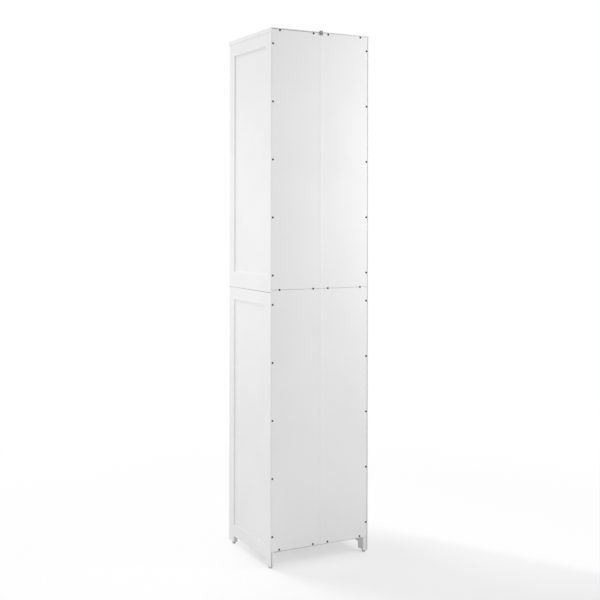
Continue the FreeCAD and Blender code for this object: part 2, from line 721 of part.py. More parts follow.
def catches():
    """Magnetic catch under the panel above each door, and the strike plate that it holds."""
    shell = box("catch_shell", ("-catch_length / 2", "0", "-catch_height"),
                ("catch_length", "catch_depth", "catch_height"))
    magnet_low = "-catch_height / 2 - magnet_height / 2"
    pocket = box("catch_pocket", ("-magnet_length / 2", "-cut_overrun", magnet_low),
                 ("magnet_length", "cut_overrun + magnet_depth - magnet_proud", "magnet_height"))
    housing = cut("catch_housing", shell, [pocket])
    magnet = box("catch_magnet", ("-magnet_length / 2", "-magnet_proud", magnet_low),
                 ("magnet_length", "magnet_depth", "magnet_height"))
    ceilings = {"upper": "upper_end", "lower": "divider_under"}
    spots = [(("catch_x", "catch_face", z), "+Z") for z in ceilings.values()]
    copies("catch_housings", housing, spots)
    copies("catch_magnets", magnet, spots)
    for tier, z in ceilings.items():
        board(tier + "_door_strike_plate",
              ("catch_x - strike_length / 2", "door_back", z + " - catch_height / 2 - strike_height / 2"),
              ("strike_length", "strike_thickness", "strike_height"))


def finish_boards():
    """Cut each blank's grooves and holes, and give the result the name of its node."""
    for name, blank in BLANKS.items():
        NODES[name] = cut(name + "_cut", blank, TOOLS[name]) if TOOLS[name] else blank


def write_parts():
    for name, item in NODES.items():
        item.Label = name
    DOC.recompute()
    for item in DOC.Objects:
        if "Invalid" in item.State or "Error" in item.State:
            raise RuntimeError("%s failed: %s" % (item.Label, item.State))
    for name, item in NODES.items():
        shape = item.Shape
        if shape.isNull() or not shape.isValid() or not shape.Solids:
            raise RuntimeError("%s has no valid solid" % name)
    os.makedirs("parts", exist_ok=True)
    for name, item in NODES.items():
        item.Shape.exportStep("parts/%s.step" % name)
        print("%-32s solids %2d  volume %.0f" % (name, len(item.Shape.Solids), item.Shape.Volume))
    print("%d nodes" % len(NODES))


side_frames()
carcass_panels()
backs()
shelves()
for tier_name in TIERS:
    door(tier_name)
tip_bracket()
back_screws()
foot_glides()
knock_down_fittings()
tier_dowels()
hinges()
knobs()
catches()
finish_boards()
write_parts()
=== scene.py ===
import json
import math

import bmesh
import bpy
from mathutils import Matrix, Vector


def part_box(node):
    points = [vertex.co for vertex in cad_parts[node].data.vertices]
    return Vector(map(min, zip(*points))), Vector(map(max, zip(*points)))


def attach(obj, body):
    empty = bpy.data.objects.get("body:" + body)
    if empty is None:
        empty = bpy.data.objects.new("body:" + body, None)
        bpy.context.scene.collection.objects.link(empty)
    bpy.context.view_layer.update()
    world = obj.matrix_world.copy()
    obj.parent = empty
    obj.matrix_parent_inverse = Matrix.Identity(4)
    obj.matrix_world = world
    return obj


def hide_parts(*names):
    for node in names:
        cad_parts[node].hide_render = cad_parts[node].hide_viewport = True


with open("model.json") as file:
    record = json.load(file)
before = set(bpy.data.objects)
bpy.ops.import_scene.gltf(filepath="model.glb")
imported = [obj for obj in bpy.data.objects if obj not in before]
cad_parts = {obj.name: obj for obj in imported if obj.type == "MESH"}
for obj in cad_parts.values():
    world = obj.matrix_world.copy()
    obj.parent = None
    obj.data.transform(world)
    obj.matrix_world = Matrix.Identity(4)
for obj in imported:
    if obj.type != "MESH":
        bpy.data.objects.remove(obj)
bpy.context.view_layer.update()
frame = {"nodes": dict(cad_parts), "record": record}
NODES = frame["nodes"]

# Linen cabinet seen from behind: white lacquered boards, scored sheet backs and dark fasteners.
# Metres, +Z up, front towards -Y, right side towards +X.

MM = 0.001
TIERS = ("upper", "lower")
MERGE_DISTANCE = 0.001 * MM

# Camera, from the vanishing points and the screw grid of the photograph
PHOTO_SIDE = 600
FOCAL_PIXELS = 1044.8
HORIZON_PIXEL = 210.9
SENSOR_WIDTH = 36
CAMERA_SPOT = Vector((1.829, 3.46125, 1.255))
CAMERA_YAW = math.radians(28.048)
CAMERA_ROLL = math.radians(0.1)

# Screws
SCREW_STEPS = 16
SCREW_COLUMN_GAPS = 4
SCREW_OUTER_DISTANCE = 53.5 * MM
SCREW_SEAM_DISTANCE = 51 * MM
SCREW_ROW_EDGE = 35 * MM
SCREW_ROW_INNER = 30 * MM
BACK_SCREW = {"head": 3.5 * MM, "height": 2 * MM, "shank": 1.45 * MM,
              "length": 16 * MM, "recess": 1.1 * MM}
KNOB_SCREW = {"head": 4 * MM, "height": 2.5 * MM, "shank": 1.95 * MM,
              "length": 29.9 * MM, "recess": 1.4 * MM}
LEAF_SCREW = {"radius": 2.1 * MM, "proud": 0.05 * MM, "sunk": 0.6 * MM}
STRIKE_SCREW = {"radius": 2 * MM, "proud": 0.08 * MM, "sunk": 0.7 * MM}
CATCH_SCREW = {"radius": 2.4 * MM, "proud": 0.8 * MM, "sunk": 1 * MM}

# Shares of a head's radius or height that give its flat middle, its rim and its cross
CROSS_CENTRE = 0.25
DOME_FLAT = 0.12
DOME_RIM = 0.2
DOME_CROSS = 0.45
DOME_CROSS_LOW = 0.9
FLUSH_FLAT = 0.16
FLUSH_CROSS = 0.62
FLUSH_EDGE = 0.92
CAM_FLAT = 0.12
CAM_CROSS = 0.55
CAM_CROSS_LOW = -0.01
CAM_EASE = 0.08

# Hinges, catches and cam locks
HINGE_HEIGHT = 50 * MM
LEAF_WIDTH = 16 * MM
LEAF_THICKNESS = 0.9 * MM
LEAF_SCREW_RISES = (9 * MM, 25 * MM, 41 * MM)
LEAF_SCREW_STAGGER = 2.5 * MM
STRIKE_SCREW_REACH = 13 * MM
CATCH_HEIGHT = 14 * MM
CATCH_SCREW_INSET = 3.5 * MM
CAM_RADIUS = 7.45 * MM
CAM_DEPTH = 12.5 * MM
CAM_RECESS = 1.8 * MM
BOLT_REACH = 34 * MM
BOLT_EDGE_DISTANCE = 26 * MM
BOLT_PANEL_INSET = 90 * MM

# Turned pieces
TURNING_STEPS = 48
CAM_STEPS = 32
SHARP_ANGLE = math.radians(38)

# Glides
GLIDE_RADIUS = 6.5 * MM
GLIDE_EASE = 1.5 * MM
GLIDE_NAIL = 1.4 * MM

# Knob outline, from the foot on the door to the crown
KNOB_FOOT = 8.5 * MM
KNOB_FOOT_EASE = 0.6 * MM
KNOB_FOOT_HEIGHT = 3 * MM
KNOB_NECK = 5.5 * MM
KNOB_NECK_SPAN = (5 * MM, 13.5 * MM)
KNOB_FLARE = 8.4 * MM
KNOB_UNDER = 15 * MM
KNOB_RIM = 19.5 * MM
KNOB_RIM_EASE = 3 * MM
KNOB_CROWN = 25.6 * MM
KNOB_CROWN_EASE = 7 * MM

TO_REAR = Matrix.Rotation(math.radians(-90), 4, "X")
TO_FRONT = Matrix.Rotation(math.radians(90), 4, "X")
TO_RIGHT = Matrix.Rotation(math.radians(90), 4, "Y")
TO_LEFT = Matrix.Rotation(math.radians(-90), 4, "Y")
TO_FLOOR = Matrix.Rotation(math.radians(180), 4, "X")


def smooth_shaded(mesh):
    """Shade a mesh smooth, but for the edges where it turns sharply."""
    work = bmesh.new()
    work.from_mesh(mesh)
    for face in work.faces:
        face.smooth = True
    for edge in work.edges:
        edge.smooth = edge.is_manifold and edge.calc_face_angle(0) < SHARP_ANGLE
    work.to_mesh(mesh)
    work.free()


def finished(name, shape, materials, body, stands_for=()):
    """Make a piece of a bmesh, with its finishes, its body and the CAD nodes that it stands for."""
    bmesh.ops.remove_doubles(shape, verts=shape.verts, dist=MERGE_DISTANCE)
    bmesh.ops.recalc_face_normals(shape, faces=shape.faces)
    mesh = bpy.data.meshes.new(name)
    shape.to_mesh(mesh)
    shape.free()
    smooth_shaded(mesh)
    for material in materials:
        mesh.materials.append(material)
    item = bpy.data.objects.new(name, mesh)
    bpy.context.scene.collection.objects.link(item)
    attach(item, body)
    if stands_for:
        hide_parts(*stands_for)


def turned(shape, outline, steps):
    """Spin a half outline of (radius, height) about Z and give the new vertices."""
    before = set(shape.verts)
    points = [shape.verts.new((radius, 0, height)) for radius, height in outline]
    edges = [shape.edges.new(pair) for pair in zip(points, points[1:])]
    bmesh.ops.spin(shape, geom=points + edges, cent=(0, 0, 0), axis=(0, 0, 1), dvec=(0, 0, 0),
                   angle=math.tau, steps=steps, use_merge=True)
    made = [vert for vert in shape.verts if vert not in before]
    bmesh.ops.remove_doubles(shape, verts=made, dist=MERGE_DISTANCE)
    return [vert for vert in shape.verts if vert not in before]


def arc(centre, reach, start, end, steps):
    """Points of an elliptic arc in an outline, from one angle in degrees to another."""
    angles = [math.radians(start + (end - start) * step / steps) for step in range(steps + 1)]
    return [(centre[0] + reach[0] * math.cos(angle), centre[1] + reach[1] * math.sin(angle))
            for angle in angles]


def cross_faces(shape, verts, steps, reach, low):
    """Faces of a turned head that lie in the four arms of a cross, above a height and within a reach."""
    own = set(verts)
    arms = []
    for face in shape.faces:
        if not all(vert in own for vert in face.verts):
            continue
        centre = face.calc_center_median()
        out = math.hypot(centre.x, centre.y)
        turn = round(math.atan2(centre.y, centre.x) / math.tau * steps - 0.5) % (steps // 4)
        if centre.z > low and out < reach and (turn == 0 or out < CROSS_CENTRE * reach):
            arms.append(face)
    return arms


def sunk_cross(shape, verts, steps, reach, low, depth):
    """Sink a cross recess into a turned head and give the vertices of the whole."""
    arms = cross_faces(shape, verts, steps, reach, low)
    pushed = bmesh.ops.extrude_face_region(shape, geom=arms)["geom"]
    floor = [entry for entry in pushed if isinstance(entry, bmesh.types.BMVert)]
    bmesh.ops.translate(shape, verts=floor, vec=(0, 0, -depth))
    bmesh.ops.delete(shape, geom=arms, context="FACES_ONLY")
    return verts + floor


def moved(shape, verts, spot, turn=Matrix.Identity(4)):
    """Turn vertices about the origin and carry them to their spot."""
    bmesh.ops.transform(shape, matrix=Matrix.Translation(spot) @ turn, verts=verts)


# Shared shader groups

def new_group(name, inputs, outputs):
    """Empty group with named sockets; gives it with what it takes in and what it puts out."""
    group = bpy.data.node_groups.new(name, "ShaderNodeTree")
    for label, kind, start in inputs:
        socket = group.interface.new_socket(label, in_out="INPUT", socket_type=kind)
        socket.default_value = start
    for label, kind in outputs:
        group.interface.new_socket(label, in_out="OUTPUT", socket_type=kind)
    source = group.nodes.new("NodeGroupInput")
    target = group.nodes.new("NodeGroupOutput")
    return group, source.outputs, target.inputs


def added(tree, kind, **settings):
    """New node of a kind, with its settings."""
    node = tree.nodes.new(kind)
    for name, setting in settings.items():
        setattr(node, name, setting)
    return node


def entered(tree, slot, entry):
    """Give an input a socket or a plain value."""
    if isinstance(entry, bpy.types.NodeSocket):
        tree.links.new(entry, slot)
    else:
        slot.default_value = entry


def sum_of(tree, operation, first, second=0.0):
    """Result of an operation on two values, each a socket or a number."""
    node = added(tree, "ShaderNodeMath", operation=operation)
    entered(tree, node.inputs[0], first)
    entered(tree, node.inputs[1], second)
    return node.outputs["Value"]


def product(tree, *factors):
    """Product of two or more values."""
    total = factors[0]
    for factor in factors[1:]:
        total = sum_of(tree, "MULTIPLY", total, factor)
    return total


def split(tree, vector):
    """The X, Y and Z of a vector."""
    node = added(tree, "ShaderNodeSeparateXYZ")
    tree.links.new(vector, node.inputs["Vector"])
    return node.outputs


def noise(tree, coordinates, scale, detail):
    """Noise from 0 to 1 over a piece's coordinates."""
    node = added(tree, "ShaderNodeTexNoise")
    node.inputs["Detail"].default_value = detail
    entered(tree, node.inputs["Scale"], scale)
    tree.links.new(coordinates, node.inputs["Vector"])
    return node.outputs["Fac"]


def mixed(tree, factor, first, second):
    """Colour mix; each entry is a socket or a colour."""
    node = added(tree, "ShaderNodeMix", data_type="RGBA")
    tree.links.new(factor, node.inputs["Factor"])
    for label, entry in (("A", first), ("B", second)):
        slot = [socket for socket in node.inputs if socket.name == label and socket.type == "RGBA"][0]
        entered(tree, slot, entry)
    return [socket for socket in node.outputs if socket.type == "RGBA"][0]


def stretched(tree, factor, low, high, new_low, new_high):
    """Smooth step of a factor from one span to another."""
    node = added(tree, "ShaderNodeMapRange", interpolation_type="SMOOTHSTEP")
    tree.links.new(factor, node.inputs["Value"])
    ends = {"From Min": low, "From Max": high, "To Min": new_low, "To Max": new_high}
    for label, entry in ends.items():
        entered(tree, node.inputs[label], entry)
    return node.outputs["Result"]


# Spans, scales and details of the shared patterns
NOISE_MIDDLE = (0.35, 0.65)
DRIFT_DETAIL = 4
PEEL_DETAIL = 2
POLISH_SCALE = 6
POLISH_DETAIL = 3
POLISH_SPAN = (0.3, 0.7)
FACING_SPAN = (0.85, 0.95)
DARK_BAND_SOFT = 0.4 * MM
SIDE_SHARE_SPAN = (-0.15, 0.15)
SPECKLE_SCALE = 160
SPECKLE_DETAIL = 3
SPECKLE_LEAST = 0.75
SEAM_CORE = 0.5
SEAM_FACING = (0.4, 0.6)
SEAM_DEPTH = (-0.15, 0.15)
SEAM_FRONT_SHARE = 0.5


def tone_drift_group():
    """Slow drift between two tones, as lacquer and plastic show over a hand's breadth."""
    group, given, wanted = new_group(
        "Tone drift",
        [("Vector", "NodeSocketVector", (0, 0, 0)), ("Light", "NodeSocketColor", (1, 1, 1, 1)),
         ("Dark", "NodeSocketColor", (0.9, 0.9, 0.9, 1)), ("Scale", "NodeSocketFloat", 4)],
        [("Colour", "NodeSocketColor"), ("Mask", "NodeSocketFloat")])
    broad = noise(group, given["Vector"], given["Scale"], DRIFT_DETAIL)
    mask = stretched(group, broad, *NOISE_MIDDLE, 0, 1)
    group.links.new(mixed(group, mask, given["Light"], given["Dark"]), wanted["Colour"])
    group.links.new(mask, wanted["Mask"])
    return group


def spray_skin_group():
    """Fine orange peel of sprayed lacquer: a height for the bump and a drifting roughness."""
    group, given, wanted = new_group(
        "Spray skin",
        [("Vector", "NodeSocketVector", (0, 0, 0)), ("Grain", "NodeSocketFloat", 420),
         ("Smooth", "NodeSocketFloat", 0.34), ("Rough", "NodeSocketFloat", 0.46)],
        [("Height", "NodeSocketFloat"), ("Roughness", "NodeSocketFloat")])
    peel = noise(group, given["Vector"], given["Grain"], PEEL_DETAIL)
    drift = noise(group, given["Vector"], POLISH_SCALE, POLISH_DETAIL)
    group.links.new(peel, wanted["Height"])
    roughness = stretched(group, drift, *POLISH_SPAN, given["Smooth"], given["Rough"])
    group.links.new(roughness, wanted["Roughness"])
    return group


def facing_group():
    """Masks of the faces that look sideways, to the rear, or up and down, from the piece's normal."""
    group, given, wanted = new_group(
        "Facing", [("Normal", "NodeSocketVector", (0, 0, 1))],
        [(label, "NodeSocketFloat") for label in ("Sideways", "Rearward", "Upright")])
    parts = split(group, given["Normal"])
    sideways = sum_of(group, "ABSOLUTE", parts["X"])
    upright = sum_of(group, "ABSOLUTE", parts["Z"])
    for label, part in (("Sideways", sideways), ("Rearward", parts["Y"]), ("Upright", upright)):
        group.links.new(stretched(group, part, *FACING_SPAN, 0, 1), wanted[label])
    return group


def fibre_and_shade_group(facing_tree):
    """Mask of a dark band on a rearward face and of the shoulder at its outer end, as bare fibre along a
    rear edge and as painted shade in a rebate's corner and on a lip.
    """
    group, given, wanted = new_group(
        "Bare fibre and painted shade",
        [("Vector", "NodeSocketVector", (0, 0, 0)), ("Normal", "NodeSocketVector", (0, 0, 1)),
         ("Inner", "NodeSocketFloat", 0), ("Outer", "NodeSocketFloat", 0.2),
         ("Right Share", "NodeSocketFloat", 1), ("Left Share", "NodeSocketFloat", 1)],
        [("Mask", "NodeSocketFloat")])
    facing = added(group, "ShaderNodeGroup", node_tree=facing_tree)
    group.links.new(given["Normal"], facing.inputs["Normal"])
    along = split(group, given["Vector"])["X"]
    out = sum_of(group, "ABSOLUTE", along)
    inner = given["Inner"]
    outer = given["Outer"]
    past_inner = stretched(group, out, sum_of(group, "SUBTRACT", inner, DARK_BAND_SOFT), inner, 0, 1)
    before_outer = stretched(group, out, outer, sum_of(group, "ADD", outer, DARK_BAND_SOFT), 1, 0)
    at_shoulder = stretched(group, out, sum_of(group, "SUBTRACT", outer, 2 * DARK_BAND_SOFT), outer, 0, 1)
    band = product(group, facing.outputs["Rearward"], past_inner, before_outer)
    shoulder = product(group, facing.outputs["Sideways"], at_shoulder, before_outer)
    # Dark band stronger on one side than the other, by the two shares
    side_share = stretched(group, along, *SIDE_SHARE_SPAN, given["Left Share"], given["Right Share"])
    grain = noise(group, given["Vector"], SPECKLE_SCALE, SPECKLE_DETAIL)
    speckle = stretched(group, grain, *NOISE_MIDDLE, SPECKLE_LEAST, 1)
    dark_band = sum_of(group, "MAXIMUM", band, shoulder)
    group.links.new(product(group, dark_band, side_share, speckle), wanted["Mask"])
    return group


def tier_seam_shadow_group():
    """Painted shadow in the gap between two stacked boards, on faces that look sideways, fainter towards
    the front.
    """
    group, given, wanted = new_group(
        "Tier seam shadow",
        [("Vector", "NodeSocketVector", (0, 0, 0)), ("Normal", "NodeSocketVector", (0, 0, 1)),
         ("Height", "NodeSocketFloat", 1), ("Half", "NodeSocketFloat", 1 * MM)],
        [("Mask", "NodeSocketFloat")])
    spot = split(group, given["Vector"])
    sideways = sum_of(group, "ABSOLUTE", split(group, given["Normal"])["X"])
    away = sum_of(group, "ABSOLUTE", sum_of(group, "SUBTRACT", spot["Z"], given["Height"]))
    core = sum_of(group, "MULTIPLY", given["Half"], SEAM_CORE)
    line = stretched(group, away, core, given["Half"], 1, 0)
    outward = stretched(group, sideways, *SEAM_FACING, 0, 1)
    depth = stretched(group, spot["Y"], *SEAM_DEPTH, SEAM_FRONT_SHARE, 1)
    group.links.new(product(group, line, outward, depth), wanted["Mask"])
    return group


TONE_DRIFT = tone_drift_group()
SPRAY_SKIN = spray_skin_group()
FACING = facing_group()
FIBRE_AND_SHADE = fibre_and_shade_group(FACING)
TIER_SEAM_SHADOW = tier_seam_shadow_group()


# Finishes

class Finish:
    """A material under way: its tree, its shader, the piece's own coordinates and the relief so far."""

    def __init__(self, name):
        self.material = bpy.data.materials.new(name)
        self.material.use_nodes = True
        self.tree = self.material.node_tree
        self.shader = self.tree.nodes["Principled BSDF"]
        self.place = added(self.tree, "ShaderNodeTexCoord")
        self.relief = None

    def set(self, **numbers):
        """Give the shader plain numbers."""
        for label, number in numbers.items():
            self.shader.inputs[label.replace("_", " ")].default_value = number
        return self

    def feed(self, label, socket):
        """Link a socket to an input of the shader."""
        self.tree.links.new(socket, self.shader.inputs[label])

    def group(self, tree, **entries):
        """Use a shared group with these entries and give its outputs."""
        node = added(self.tree, "ShaderNodeGroup", node_tree=tree)
        for label, entry in entries.items():
            entered(self.tree, node.inputs[label.replace("_", " ")], entry)
        return node.outputs

    def coat(self, colour, skin, peel):
        """Feed a colour, a drifting roughness and the fine relief of a skin."""
        self.feed("Base Color", colour)
        self.feed("Roughness", skin["Roughness"])
        self.bump(skin["Height"], *peel)

    def bump(self, height, strength, distance):
        """Lay one more relief over the relief so far."""
        node = added(self.tree, "ShaderNodeBump")
        node.inputs["Strength"].default_value = strength
        node.inputs["Distance"].default_value = distance
        self.tree.links.new(height, node.inputs["Height"])
        if self.relief:
            self.tree.links.new(self.relief, node.inputs["Normal"])
        self.relief = node.outputs["Normal"]
        self.feed("Normal", self.relief)


def grey(level, warmth=0.0):
    """Grey of a level, warmer by a small share of red over blue."""
    return (level * (1 + warmth), level, level * (1 - warmth), 1)


# Lacquer, and the dark fibre tone used for bare edges and for painted shade lines; a peel is a relief's
# strength and height
LACQUER_LIGHT = grey(0.87)
LACQUER_DARK = grey(0.85)
LACQUER_DRIFT = 5
LACQUER_SKIN = {"Grain": 420, "Smooth": 0.36, "Rough": 0.46}
LACQUER_PEEL = (0.08, 0.4 * MM)
FIBRE_AND_SHADE_LIGHT = (0.2, 0.18, 0.16, 1)
FIBRE_AND_SHADE_DARK = (0.11, 0.098, 0.086, 1)
FIBRE_AND_SHADE_DRIFT = 300
SEAM_HALF = 0.9 * MM
SEAM_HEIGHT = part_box("lower_right_rear_stile")[1].z


def lacquer(name, dark_band_settings=None):
    """Satin white lacquer with a painted shadow line along the tier seam; the dark band settings tell
    where a board's rear edge, rebate or lip is dark, as bare fibre and painted shade.
    """
    finish = Finish(name)
    place = finish.place.outputs["Object"]
    tone = finish.group(TONE_DRIFT, Vector=place, Light=LACQUER_LIGHT, Dark=LACQUER_DARK,
                        Scale=LACQUER_DRIFT)
    skin = finish.group(SPRAY_SKIN, Vector=place, **LACQUER_SKIN)
    colour = tone["Colour"]
    # Dark band: bare fibre along a rear edge, painted shade in a rebate's corner and on a lip
    if dark_band_settings:
        dark_band = finish.group(FIBRE_AND_SHADE, Vector=place, Normal=finish.place.outputs["Normal"], **dark_band_settings)
        dark_band_tone = finish.group(TONE_DRIFT, Vector=place, Light=FIBRE_AND_SHADE_LIGHT, Dark=FIBRE_AND_SHADE_DARK,
                             Scale=FIBRE_AND_SHADE_DRIFT)
        colour = mixed(finish.tree, dark_band["Mask"], colour, dark_band_tone["Colour"])
    # Painted shadow line along the seam between the tiers
    seam_shadow = finish.group(TIER_SEAM_SHADOW, Vector=place, Normal=finish.place.outputs["Normal"],
                        Height=SEAM_HEIGHT, Half=SEAM_HALF)
    finish.coat(mixed(finish.tree, seam_shadow["Mask"], colour, FIBRE_AND_SHADE_LIGHT), skin, LACQUER_PEEL)
    return finish.material


# Sheet, its fold down the middle with a painted shade line, and a painted shadow line under its top edge
SHEET_LIGHT = grey(0.865)
SHEET_DARK = grey(0.845)
SHEET_EDGE = grey(0.6, 0.03)
SHEET_DRIFT = 4
SHEET_SKIN = {"Grain": 260, "Smooth": 0.42, "Rough": 0.55}
SHEET_PEEL = (0.1, 0.4 * MM)
FOLD_SHADE_TONE = grey(0.62)
FOLD_SHADE_SHARE = 0.16
FOLD_REACH = 13 * MM
FOLD_RELIEF = (1, 0.45 * MM)
FOLD_SHADE_WIDTH = 1.6 * MM
TOP_SHADOW_DROP = 2 * MM
TOP_SHADOW_HALF = 1.2 * MM
TOP_SHADOW_SPAN = (-0.08, 0.06)
TOP_SHADOW_SHARES = (0.3, 0.85)


def top_shadow_line(finish):
    """Mask of a painted shadow line under the upper sheet's top edge, fading to the left."""
    tree = finish.tree
    spot = split(tree, finish.place.outputs["Object"])
    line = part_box("upper_back")[1].z - TOP_SHADOW_DROP
    away = sum_of(tree, "ABSOLUTE", sum_of(tree, "SUBTRACT", spot["Z"], line))
    band = stretched(tree, away, TOP_SHADOW_HALF / 2, TOP_SHADOW_HALF, 1, 0)
    return product(tree, band, stretched(tree, spot["X"], *TOP_SHADOW_SPAN, *TOP_SHADOW_SHARES))


def back_sheet(name):
    """Thin lacquered hardboard: a fine rolled texture, a faint ridge over the fold with a painted shade
    line, bare edges and a painted shadow line under the top.
    """
    finish = Finish(name)
    tree = finish.tree
    place = finish.place.outputs["Object"]
    tone = finish.group(TONE_DRIFT, Vector=place, Light=SHEET_LIGHT, Dark=SHEET_DARK, Scale=SHEET_DRIFT)
    skin = finish.group(SPRAY_SKIN, Vector=place, **SHEET_SKIN)
    facing = finish.group(FACING, Normal=finish.place.outputs["Normal"])
    from_fold = sum_of(tree, "ABSOLUTE", split(tree, place)["X"])
    # Painted shade along the fold's crease
    fold_shade = stretched(tree, from_fold, 0, FOLD_SHADE_WIDTH, FOLD_SHADE_SHARE, 0)
    colour = mixed(tree, fold_shade, tone["Colour"], FOLD_SHADE_TONE)
    edges = sum_of(tree, "MAXIMUM", facing["Sideways"], facing["Upright"])
    colour = mixed(tree, edges, colour, SHEET_EDGE)
    # Painted shadow line under the top edge
    finish.coat(mixed(tree, top_shadow_line(finish), colour, FIBRE_AND_SHADE_LIGHT), skin, SHEET_PEEL)
    finish.bump(stretched(tree, from_fold, 0, FOLD_REACH, 1, 0), *FOLD_RELIEF)
    return finish.material


# Metal, plastic and beech
METAL_GRAIN = 900
METAL_PEEL = (0.06, 0.2 * MM)
PLASTIC_DRIFT = 90
PLASTIC_GRAIN = 1500
PLASTIC_ROUGHER = 0.12
PLASTIC_PEEL = (0.12, 0.2 * MM)
BEECH_LIGHT = (0.62, 0.45, 0.28, 1)
BEECH_DARK = (0.45, 0.29, 0.16, 1)
BEECH_STRETCH = (1, 1, 0.08)
BEECH_DRIFT = 900
BEECH_RELIEF = (0.1, 0.2 * MM)
BEECH_ROUGHNESS = 0.6


def metal(name, light, dark, smooth, rough, scale):
    """Metal with a slow drift of tone and polish."""
    finish = Finish(name)
    place = finish.place.outputs["Object"]
    tone = finish.group(TONE_DRIFT, Vector=place, Light=light, Dark=dark, Scale=scale)
    skin = finish.group(SPRAY_SKIN, Vector=place, Grain=METAL_GRAIN, Smooth=smooth, Rough=rough)
    finish.coat(tone["Colour"], skin, METAL_PEEL)
    return finish.set(Metallic=1).material


def plastic(name, light, dark, rough):
    """Moulded plastic with a fine matt grain."""
    finish = Finish(name)
    place = finish.place.outputs["Object"]
    tone = finish.group(TONE_DRIFT, Vector=place, Light=light, Dark=dark, Scale=PLASTIC_DRIFT)
    skin = finish.group(SPRAY_SKIN, Vector=place, Grain=PLASTIC_GRAIN, Smooth=rough,
                        Rough=rough + PLASTIC_ROUGHER)
    finish.coat(tone["Colour"], skin, PLASTIC_PEEL)
    return finish.material


def dowel_wood(name):
    """Turned beech: grain drawn out along the dowel."""
    finish = Finish(name)
    along = added(finish.tree, "ShaderNodeMapping")
    along.inputs["Scale"].default_value = BEECH_STRETCH
    finish.tree.links.new(finish.place.outputs["Object"], along.inputs["Vector"])
    tone = finish.group(TONE_DRIFT, Vector=along.outputs["Vector"], Light=BEECH_LIGHT, Dark=BEECH_DARK,
                        Scale=BEECH_DRIFT)
    finish.feed("Base Color", tone["Colour"])
    finish.bump(tone["Mask"], *BEECH_RELIEF)
    return finish.set(Roughness=BEECH_ROUGHNESS).material


FINISHES = {
    "white_paint": lacquer("white_lacquer"),
    "back_sheet": back_sheet("lacquered_hardboard"),
    "dowel_wood": dowel_wood("beech_dowel"),
    "dark_steel": metal("blackened_steel", grey(0.07), grey(0.045), smooth=0.34, rough=0.5, scale=160),
    "zinc": metal("zinc_plate", grey(0.62), grey(0.5), smooth=0.3, rough=0.45, scale=120),
    "hinge_steel": metal("hinge_steel", grey(0.6, 0.01), grey(0.5, 0.01),
                         smooth=0.24, rough=0.36, scale=90),
    "knob_metal": metal("satin_nickel", grey(0.58, 0.03), grey(0.5, 0.03),
                        smooth=0.22, rough=0.32, scale=60),
    "glide_plastic": plastic("glide_plastic", grey(0.6), grey(0.53), rough=0.5),
    "catch_plastic": plastic("catch_plastic", grey(0.78), grey(0.72), rough=0.4),
    "magnet": metal("ferrite_magnet", grey(0.09, 0.03), grey(0.05, 0.03),
                    smooth=0.5, rough=0.65, scale=140),
}

# Bare fibre along the rear of the bottom; bare fibre with painted shade in the corner of the near
# rebate; painted shade thinly on the far lip
WHOLE_WIDTH = -1.0
REBATE_LIP = 3.5 * MM
REBATE_DARK_WIDTH = 5 * MM
EDGE_EASE = 1.2 * MM
SIDE_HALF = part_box("upper_right_rear_stile")[1].x
REBATE_HALF = SIDE_HALF - REBATE_LIP
REBATE_DARK_FROM = REBATE_HALF - REBATE_DARK_WIDTH
LIP_FLAT_HALF = SIDE_HALF - EDGE_EASE
RAW_REAR = lacquer("white_lacquer_raw_rear",
                   {"Inner": WHOLE_WIDTH, "Outer": REBATE_HALF,
                    "Right_Share": 1.0, "Left_Share": 0.4})
# Painted shade in the corner of the near rebate, partly bare fibre
REBATE_FIBRE_AND_SHADE = lacquer("white_lacquer_rebate_fibre_and_shade",
                     {"Inner": REBATE_DARK_FROM, "Outer": REBATE_HALF,
                      "Right_Share": 0.5, "Left_Share": 0.5})
# Painted shade thinly on the far lip
LIP_PAINTED_SHADE = lacquer("white_lacquer_lip_painted_shade",
                  {"Inner": REBATE_HALF, "Outer": LIP_FLAT_HALF,
                   "Right_Share": 0.3, "Left_Share": 0.3})
BRACKET_STEEL = metal("grey_steel", grey(0.28), grey(0.22), smooth=0.42, rough=0.56, scale=160)
OWN_FINISHES = {"bottom_panel": RAW_REAR, "tip_bracket": BRACKET_STEEL,
                "upper_right_rear_stile": REBATE_FIBRE_AND_SHADE, "lower_right_rear_stile": REBATE_FIBRE_AND_SHADE,
                "upper_left_rear_stile": LIP_PAINTED_SHADE, "lower_left_rear_stile": LIP_PAINTED_SHADE}


def dress_frame():
    """Give every CAD node the finish of its slot in the record, or its own."""
    for part in frame["record"]["subparts"]:
        node = NODES[part["node"]]
        node.data.materials.clear()
        node.data.materials.append(OWN_FINISHES.get(part["node"], FINISHES[part["material_slot"]]))


# Screws

def pan_screw(shape, head, height, shank, length, recess):
    """Pan-head screw standing on its head's seat, with a cross recess sunk into the dome."""
    middle = DOME_FLAT * head
    rim = DOME_RIM * height
    outline = [(0, height)]
    outline += arc((middle, rim), (head - middle, height - rim), 90, 0, steps=4)
    outline += [(head, 0), (shank, 0), (shank, 2 * shank - length), (0, -length)]
    verts = turned(shape, outline, SCREW_STEPS)
    return sunk_cross(shape, verts, SCREW_STEPS, DOME_CROSS * head, DOME_CROSS_LOW * height, recess)


def flush_screw(shape, radius, proud, sunk):
    """Countersunk screw head almost level with its plate; its cross takes the second finish."""
    outline = [(share * radius, proud) for share in (0, FLUSH_FLAT, FLUSH_CROSS, FLUSH_EDGE)]
    outline += [(radius, proud / 2), (radius, -sunk), (0, -sunk)]
    verts = turned(shape, outline, SCREW_STEPS)
    for face in cross_faces(shape, verts, SCREW_STEPS, FLUSH_CROSS * radius, 0):
        face.material_index = 1
    return verts


